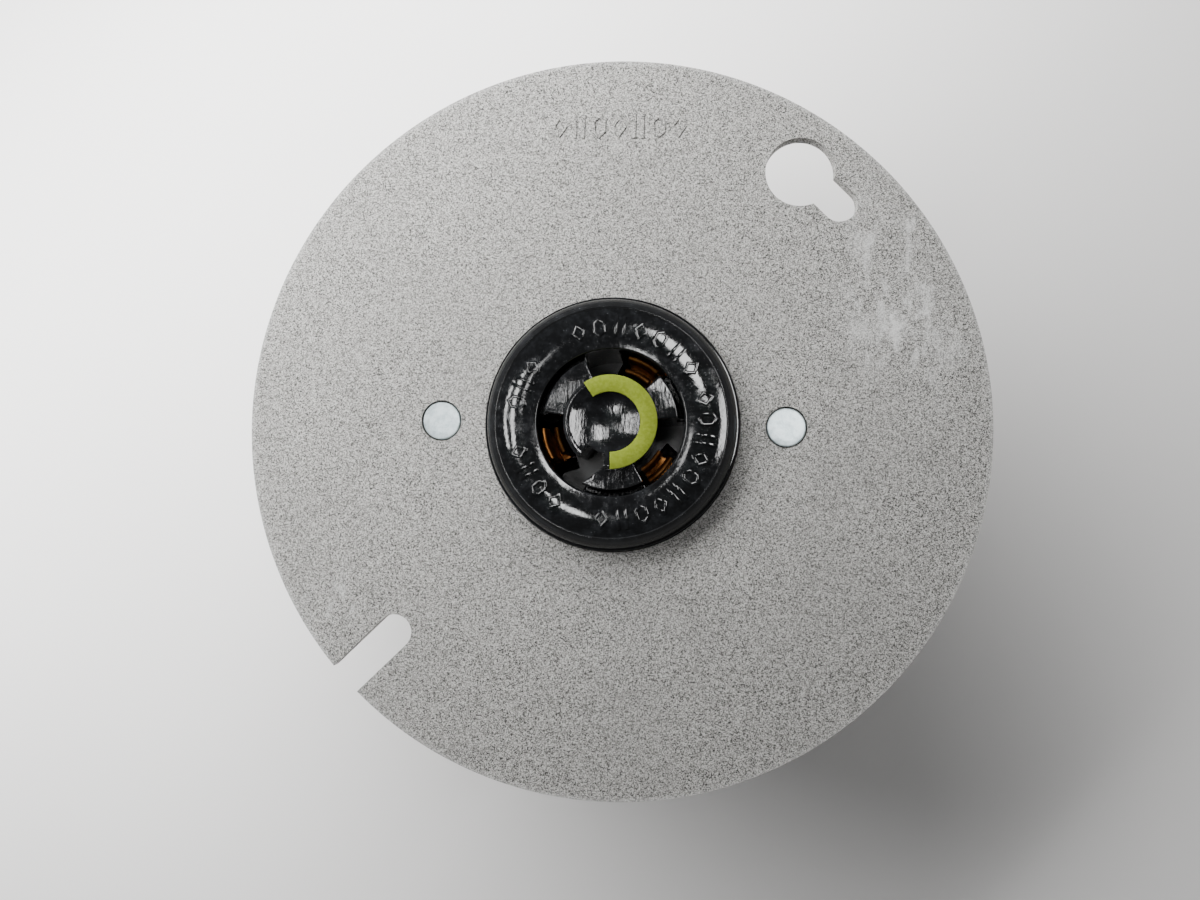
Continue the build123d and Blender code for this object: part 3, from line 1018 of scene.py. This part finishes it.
def make_contact(name):
    tie_reach = leaf_curve[0][0] + leaf_thick
    contact = sector(
        name, blade_path - tie_reach, blade_path + tie_reach, foot_back, core_low.z,
        -leaf_span / 2, leaf_span / 2,
    )
    weld(
        contact,
        leaf("inner_leaf", -1),
        leaf("outer_leaf", 1),
        bar(
            "foot", blade_path, tab_face - 0.1, foot_half_width,
            foot_back + foot_inset, core_low.z - foot_inset,
        ),
        bar("tab", tab_radius, tab_face, tab_half_width, tab_end, core_low.z),
        radial_rod("collar", collar_radius, tab_radius - collar_length, tab_radius + join_depth),
    )
    carve(contact, radial_rod("tapping", tapped_radius, *tapping_reach))
    return soften(contact, 0.07)


first_contact = make_contact("brass_contact")
for pole in poles:
    contact = copied(first_contact, f"brass_contact_{pole}")
    ready(turned(contact, pole_angle(pole)), contact_finish, "root", f"{pole}_contact")
bpy.data.objects.remove(first_contact)

# %% [markdown]
# ## A real screw thread
# A thread is a zigzag profile that climbs by one pitch in each turn, which is what the Screw
# modifier does. The profile reaches in to the axis, so after one turn only a small step wall is
# open at each end, and that is filled. Keeping only what lies inside a rod with a tapered tip
# cuts both ends to length and gives the thread its lead-in.

# %% Threads
thread_steps = 40
form_margin, tip_inset = 0.05, 0.1
flank_share, crest_share = 0.4, 0.56


def threaded(name, radius, low, high, pitch, depth):
    """A threaded rod along Z with a tapered lower end, in millimetres."""
    root = radius - depth
    outline = [(0, low - 2 * pitch)]
    for turn in range(int((high - low) / pitch) + 3):
        level = low + (turn - 2) * pitch
        outline.append((root, level))
        outline += [(radius, level + share * pitch) for share in (flank_share, crest_share)]
    outline += [(0, outline[-1][1])]
    thread = trace(name, outline, filled=False)
    modify(
        thread, "SCREW", angle=2 * pi, screw_offset=pitch * MM, iterations=1,
        steps=thread_steps, render_steps=thread_steps,
    )
    with editing(thread):
        bpy.ops.mesh.select_all(action="SELECT")
        bpy.ops.mesh.remove_doubles(threshold=1e-7)
        bpy.ops.mesh.select_all(action="SELECT")
        bpy.ops.mesh.fill_holes(sides=0)
        bpy.ops.mesh.select_all(action="SELECT")
        bpy.ops.mesh.normals_make_consistent(inside=False)
    clear = radius + form_margin
    taper_end = low + 0.9 * depth + 0.2
    form = spun("tip_form", [
        (0, low), (root - tip_inset, low), (clear, taper_end), (clear, high), (0, high)
    ])
    return boolean(thread, form, "INTERSECT")


print("one turn of thread is cut in", thread_steps, "steps")

# %% [markdown]
# ## Terminal screws and clamp plates
# Each wire is held under a clamp plate by a screw that turns in the contact's tab. The plate has
# two shallow grooves for wires and rides out with the screw. The screw heads are coloured as
# the trade expects: brass for the hot side, nickel for the neutral and green for the ground. The
# heads have a rounded edge, a driver slot and faint turning marks in their finish.

# %% Terminal screws and clamp plates
clamp_radius = 15.75
clamp_face = 17.05
clamp_half_width = 4.0
clamp_half_height = 3.9
groove_radius = 1.025
groove_depth = 0.25
groove_offset = 2.7
head_seat = 17.1
head_top = 19.1
head_radius = 3.7
thread_radius = 1.98
thread_pitch = 0.794
thread_depth = 0.42
screw_tip = 10.5
thread_overlap = 0.4
driver_slot = 1.0
slot_reach = 5
top_flat_radius, top_fall = 1.8, 0.015
head_round = 0.45
clamp_corner = 0.8
corner_reach = 0.1


def make_terminal_screw(name):
    head = spun(name, (
        [(0, head_seat), (head_radius, head_seat)]
        + arc((head_radius - head_round, head_top - 0.5), head_round, 0, 78)
        + [(top_flat_radius, head_top - top_fall), (0, head_top)]
    ))
    slot_floor = head_top - driver_slot
    carve(head, bar("slot", -slot_reach, slot_reach, driver_slot / 2, slot_floor, head_top + PAST))
    soften(head, 0.06, angle=50)
    reach = (screw_tip, head_seat + thread_overlap)
    weld(head, threaded("thread", thread_radius, *reach, thread_pitch, thread_depth))
    return laid_along_x(head)


def make_clamp_plate(name):
    low, high = screw_level - clamp_half_height, screw_level + clamp_half_height
    plate = bar(name, clamp_radius, clamp_face, clamp_half_width, low, high)

    def corner(at):
        beside = abs(at.y) > clamp_half_width - corner_reach
        return beside and abs(at.z - screw_level) > clamp_half_height - corner_reach

    with editing(plate):
        pick("EDGE", corner)
        bpy.ops.mesh.bevel(offset=clamp_corner * MM, segments=6)
    for side in (-1, 1):
        groove_middle = clamp_radius + groove_depth - groove_radius
        wire = (low - PAST, high + PAST, groove_middle, side * groove_offset)
        carve(plate, rod("wire_groove", groove_radius, *wire, sides=48))
    carve(plate, radial_rod("plate_hole", tapped_radius, clamp_radius - PAST, clamp_face + PAST))
    return soften(plate, 0.12)


first_screw = make_terminal_screw("terminal_screw")
first_plate = make_clamp_plate("clamp_plate")
for pole in poles:
    screw = turned(copied(first_screw, f"slotted_screw_{pole}"), pole_angle(pole))
    ready(screw, pole_finishes[pole], f"{pole}_screw", f"{pole}_terminal_screw")
    plate = turned(copied(first_plate, f"wire_clamp_{pole}"), pole_angle(pole))
    ready(plate, clamp_finish, f"{pole}_clamp", f"{pole}_clamp_plate")
bpy.data.objects.remove(first_screw)
bpy.data.objects.remove(first_plate)

# %% [markdown]
# ## Mounting strap and bond strip
# The strap is a steel plate with two ears that the rivets clamp behind the cover. Its outline is
# the skin stretched round three discs, which is exactly what a convex hull is. The bond strip is
# one bent strip of brass: its side view is traced with round bends and given its width.

# %% Strap and bond strip
strap_radius = 23.37
ear_radius = 5.8
strap_tap_radius = 1.45
ground_angle = pole_angle("ground")
bond_radius = 18.9
bond_half = 0.35
bond_width = 5.0
bond_ear_end = 22.3
bond_shelf = -8.2
bond_foot_end = -10.8
bond_room = 0.15
passage_half_width = bond_width / 2 + bond_room

strap = joined("steel_strap", [
    rod("disc", strap_radius, strap_back, 0),
    *twin_rods("ear", ear_radius, strap_back, 0, x=rivet_x, sides=64),
])
with editing(strap):
    bpy.ops.mesh.select_all(action="SELECT")
    bpy.ops.mesh.convex_hull()
    bpy.ops.mesh.select_all(action="SELECT")
    bpy.ops.mesh.dissolve_limited(angle_limit=radians(0.5))
through_strap = (strap_back - PAST, PAST)
carve(strap, rod("middle", face_radius + face_gap, *through_strap))
carve(strap, *twin_rods("rivet_hole", shank_radius + shank_gap, *through_strap, x=rivet_x))
carve(strap, *twin_rods("tapped_hole", strap_tap_radius, *through_strap, y=screw_y))
soften(strap, 0.12)
ready(strap, strap_finish, "root", "mounting_strap")

bend_in, bend_out = 0.3, 1.0
inner_x, outer_x = bond_radius - bond_half, bond_radius + bond_half
shelf_low, shelf_high = bond_shelf - bond_half, bond_shelf + bond_half
ear_back = flange_front - 2 * bond_half
bond_outline = (
    [(bond_ear_end, flange_front)]
    + arc((inner_x + bend_out, flange_front - bend_out), bend_out, 90, 180)
    + arc((inner_x - bend_in, shelf_high + bend_in), bend_in, 0, -90)
    + arc((tab_face + bend_out, shelf_high - bend_out), bend_out, 90, 180)
    + [(tab_face, bond_foot_end), (tab_face + 2 * bond_half, bond_foot_end)]
    + arc((tab_face + 2 * bond_half + bend_in, shelf_low - bend_in), bend_in, 180, 90)
    + arc((outer_x - bend_out, shelf_low + bend_out), bend_out, -90, 0)
    + arc((outer_x + bend_in, ear_back - bend_in), bend_in, 180, 90)
    + [(bond_ear_end, ear_back)]
)
bond = trace("bond_strip", bond_outline, filled=True)
modify(bond, "SOLIDIFY", thickness=bond_width * MM, offset=0.0)
soften(bond, 0.08, angle=50)
ready(turned(bond, ground_angle), bond_finish, "root", "ground_bond_strip")


def bond_passage(low, high):
    """Room for the strip's drop and ear in the pieces it passes through."""
    drop = bar("drop", inner_x - bond_room, outer_x + bond_room, passage_half_width, low, high)
    return turned(drop, ground_angle)


# %% [markdown]
# ## The body behind the cover
# The body is a thick moulded drum. The core sits in a round cup in its front, and each contact,
# clamp plate and screw stands in a pocket that opens through the side for the screwdriver. The
# outside carries shallow grip flutes between the windows, as moulded bodies do, and every edge
# has a small moulded radius. The bond strip also runs through the ring's flange, so the same
# passage is cut in both.

# %% Body
channel_radius = 7.1
channel_half_width = 3.95
pocket_half_width = 4.35
pocket_top = core_low.z - 0.4
flute_radius = 0.9
flute_depth = 0.35
flute_pitch = 5.2
flutes_each = 9
flute_inset = 1.6
body_sides = 224
ear_overrun = 0.5

body = rod("black_body", body_radius, base_back, flange_back, sides=body_sides)
carve(body, rod("cup", cup_radius, core_low.z, flange_back + PAST))
for pole in poles:
    channel = bar(
        "channel", channel_radius, tab_face, channel_half_width,
        base_back - PAST, core_low.z + join_depth,
    )
    pocket = bar(
        "pocket", tab_radius, body_radius + PAST, pocket_half_width, base_back - PAST, pocket_top
    )
    carve(body, turned(channel, pole_angle(pole)), turned(pocket, pole_angle(pole)))
through_body = (base_back - PAST, flange_back + PAST)
carve(body, *twin_rods("screw_way", screw_hole_radius, *through_body, y=screw_y))
shelf_way = bar(
    "shelf_way", tab_face - bond_room, outer_x + bond_room, passage_half_width,
    bond_foot_end - bond_room, shelf_high + bond_room,
)
carve(body, bond_passage(shelf_low - bond_room, flange_back + PAST), turned(shelf_way, ground_angle))
angles = sorted(pole_angle(pole) % 360 for pole in poles)
flute_ends = (base_back + flute_inset, flange_back - flute_inset)
flutes = []
for here, there in zip(angles, angles[1:] + [angles[0] + 360]):
    for place in range(flutes_each):
        angle = (here + there) / 2 + (place - (flutes_each - 1) / 2) * flute_pitch
        centre = polar(body_radius + flute_radius - flute_depth, angle)
        flutes.append(rod("flute", flute_radius, *flute_ends, centre.x, centre.y, sides=32))
carve(body, joined("flutes", flutes))
soften(body, 0.18)
ready(close_up(body), body_finish, "root", "base_housing")

ear_room = bar(
    "ear_room", bond_radius, bond_ear_end + bond_room, passage_half_width,
    ear_back - bond_room, flange_front + ear_overrun,
)
carve(face, bond_passage(flange_back - PAST, flange_front + ear_overrun))
carve(face, turned(ear_room, ground_angle))

# %% [markdown]
# ## The rear cover
# The back closes the pockets and leads the wires in through six holes with wide countersinks. A
# shallow round panel, pin marks from the mould and recesses for the two long screws break up its
# flat face. Three posts inside press the contacts' feet against the core.

# %% Rear cover
wire_radius = 1.4
wire_mouth = 2.1
wire_mouth_depth = 0.9
flare = 0.5
panel_radius = 12.6
panel_slope = 0.2
panel_floor = rear_level + 0.45
pin_mark_radius = 1.5
pin_mark_floor = panel_floor + 0.14
pin_mark_path = panel_radius - 3.4
pin_mark_turn = 60
recess_radius = 2.7
recess_depth = 2.2
rear_edge = 0.7
post_near, post_far = 7.4, 9.9
post_half_width = 2
post_gap = 0.1
before_rear = rear_level - PAST

rear = rod("black_rear_cover", body_radius, rear_level, base_back, sides=body_sides)
with editing(rear):
    pick("EDGE", lambda at: at.z < rear_level + 0.01)
    bpy.ops.mesh.bevel(offset=rear_edge * MM, segments=3)
post_ends = (base_back - join_depth, foot_back - post_gap)
for pole in poles:
    post = bar("post", post_near, post_far, post_half_width, *post_ends)
    weld(rear, turned(post, pole_angle(pole)))
carve(rear, spun("panel", [
    (0, before_rear), (panel_radius + flare, before_rear), (panel_radius + panel_slope, rear_level),
    (panel_radius - panel_slope, panel_floor), (0, panel_floor),
]))
funnel = [
    (0, before_rear), (wire_mouth + flare, before_rear), (wire_mouth, rear_level),
    (wire_radius, rear_level + wire_mouth_depth), (wire_radius, base_back + PAST), (0, base_back + PAST),
]
for pole in poles:
    for letter in "ab":
        x, y, _ = mount_circle(f"{pole}_wire_hole_{letter}")
        carve(rear, moved(spun("wire_way", funnel), x, y))
    centre = polar(pin_mark_path, pole_angle(pole) + pin_mark_turn)
    pin_mark = (pin_mark_radius, before_rear, pin_mark_floor)
    carve(rear, rod("pin_mark", *pin_mark, centre.x, centre.y, sides=48))
screw_way = (screw_hole_radius, before_rear, base_back + PAST)
head_room = (recess_radius, before_rear, rear_level + recess_depth)
carve(rear, *twin_rods("screw_way", *screw_way, y=screw_y))
carve(rear, *twin_rods("head_room", *head_room, y=screw_y, sides=64))
soften(rear, 0.14)
ready(rear, body_finish, "root", "rear_cover")

# %% [markdown]
# ## The two long screws
# They hold rear cover, body and face housing to the strap. Only their heads show, in the rear
# recesses, so the heads get a rounded edge and a tapered cross, and the tips a thread.

# %% Long screws
long_radius = 1.42
long_head_radius = 2.5
long_head_thick = 1.8
long_tip = -0.1
long_head_round = 0.65
long_flat_radius, long_fall = 1.2, 0.02
long_shank = long_radius - 0.04
long_shank_end = -5.0
long_thread_reach = 5.4
long_pitch, long_thread_depth = 0.635, 0.3
long_seat = rear_level + recess_depth
long_back = long_seat - long_head_thick
cross_reach, cross_foot, cross_half = 1.67, 0.9, 0.45
cross_narrowing = 0.7


def cross_arm(angle):
    """One arm of the driver's cross, narrower at its foot."""
    arm = bar("arm", -cross_reach, cross_reach, cross_half, long_back - PAST, long_back + PAST)
    with editing(arm):
        pick("FACE", lambda at: at.z > long_back + PAST / 2)
        bpy.ops.transform.resize(value=(cross_foot / cross_reach, cross_narrowing, 1))
    return turned(arm, angle)


long_screw = spun("long_screw", (
    [(0, long_back + long_fall), (long_flat_radius, long_back)]
    + arc((long_head_radius - long_head_round, long_back + long_head_round), long_head_round, 270, 360)
    + [(long_head_radius, long_seat), (long_shank, long_seat)]
    + [(long_shank, long_shank_end), (0, long_shank_end)]
))
carve(long_screw, cross_arm(0), cross_arm(90))
soften(long_screw, 0.05, angle=50)
tip_reach = (-long_tip, long_thread_reach)
tip = threaded("tip_thread", long_radius, *tip_reach, long_pitch, long_thread_depth)
tip.data.transform(Matrix.Rotation(pi, 4, "X"))
weld(long_screw, tip)
for name, side in (("upper", 1), ("lower", -1)):
    screw = moved(copied(long_screw, f"cross_screw_{name}"), 0, side * screw_y)
    ready(screw, long_screw_finish, "root", f"assembly_screw_{name}")
bpy.data.objects.remove(long_screw)

# %% [markdown]
# ## The floor
# The object lies on its body, so the floor touches the rear cover. It is a plain pale plane, a
# little cloudy, and its broad shadow tells how high the cover stands.

# %% Floor
def floor_finish():
    pale = Finish("pale_floor", Roughness=0.6)
    cloud = pale.noise(9, detail=5, rough=0.6)
    return pale.wear(Base_Color=pale.mix((0.80, 0.79, 0.78), (0.86, 0.85, 0.84), cloud))


floor_width = 3.0
deselect()
bpy.ops.mesh.primitive_plane_add(size=floor_width, location=(0, 0, rear_level * MM))
floor = placed("floor")
floor.data.materials.append(floor_finish())
print(f"floor {-rear_level:.1f} mm below the cover's back")

# %% [markdown]
# ## Panels that the black moulding mirrors
# Glossy black shows little but what it mirrors. So level panels of light stand where the crowned
# ring and the dish need a highlight: a window and a lamp on the right, two tubes on the left, and
# small lamps for the lip and a bridge. They are hidden from matte surfaces, so they can be moved
# without changing the light on the cover.

# %% Mirrored panels
softbox_height = 260
softboxes = {
    "window": ((112, 48), (45, 120), 20),
    "upper_right": ((20, 58), (32, 46), 24),
    "near_tube": ((-74, 26), (15, 56), 22),
    "far_tube": ((-104, 26), (10, 56), 22),
    "low_lamp": ((-35, -20), (20, 20), 24),
    "bridge_lamp": ((-38, 31), (13, 13), 12),
}


def area_lamp(name, width, length):
    """A rectangular area light at the origin, sized in millimetres."""
    deselect()
    bpy.ops.object.light_add(type="AREA")
    lamp = bpy.context.object
    lamp.name = name
    lamp.data.shape = "RECTANGLE"
    lamp.data.size = width * MM
    lamp.data.size_y = length * MM
    return lamp


for name, (place, size, brightness) in softboxes.items():
    lamp = area_lamp(name, *size)
    lamp.location = Vector((*place, softbox_height)) * MM
    lamp.data.energy = brightness * pi * lamp.data.size * lamp.data.size_y
    lamp.visible_diffuse = False
print("mirrored panels:", ", ".join(softboxes))

# %% [markdown]
# ## The key and the surroundings
# One long soft key stands low at the upper left, across the view's diagonal. It is so near that its
# light falls off over the cover, from pale at the upper left to grey at the lower right. It hides
# from reflections, as it would burn a line into the ring. The surroundings are brighter low down
# than overhead, which keeps the black moulding dark where it mirrors nothing.

# %% Key and surroundings
key_place = Vector((-84, 98, 82)) * MM
key_aim = Vector((-46, 44, 0)) * MM
key_size = (360, 70)
key_power = 1.6

key = area_lamp("key", *key_size)
key.data.energy = key_power
key.visible_glossy = False
along = Vector((1, 1, 0)).normalized()
back = (key_place - key_aim).normalized()
turn = Matrix((along, back.cross(along), back)).transposed()
key.matrix_world = Matrix.Translation(key_place) @ turn.to_4x4()

world = bpy.data.worlds.new("studio")
bpy.context.scene.world = world
world.use_nodes = True
sky = world.node_tree
gradient = sky.nodes.new("ShaderNodeValToRGB")
height = sky.nodes.new("ShaderNodeSeparateXYZ")
direction = sky.nodes.new("ShaderNodeTexCoord")
Finish.set_stops(gradient.color_ramp, [(0.35, (0.38, 0.38, 0.38)), (0.95, (0.06, 0.06, 0.062))])
sky.links.new(direction.outputs["Generated"], height.inputs[0])
sky.links.new(height.outputs["Z"], gradient.inputs[0])
sky.links.new(gradient.outputs["Color"], sky.nodes["Background"].inputs["Color"])
sky.nodes["Background"].inputs["Strength"].default_value = 1.0
print("key", key_power, "W, surroundings from pale at the horizon to dark overhead")
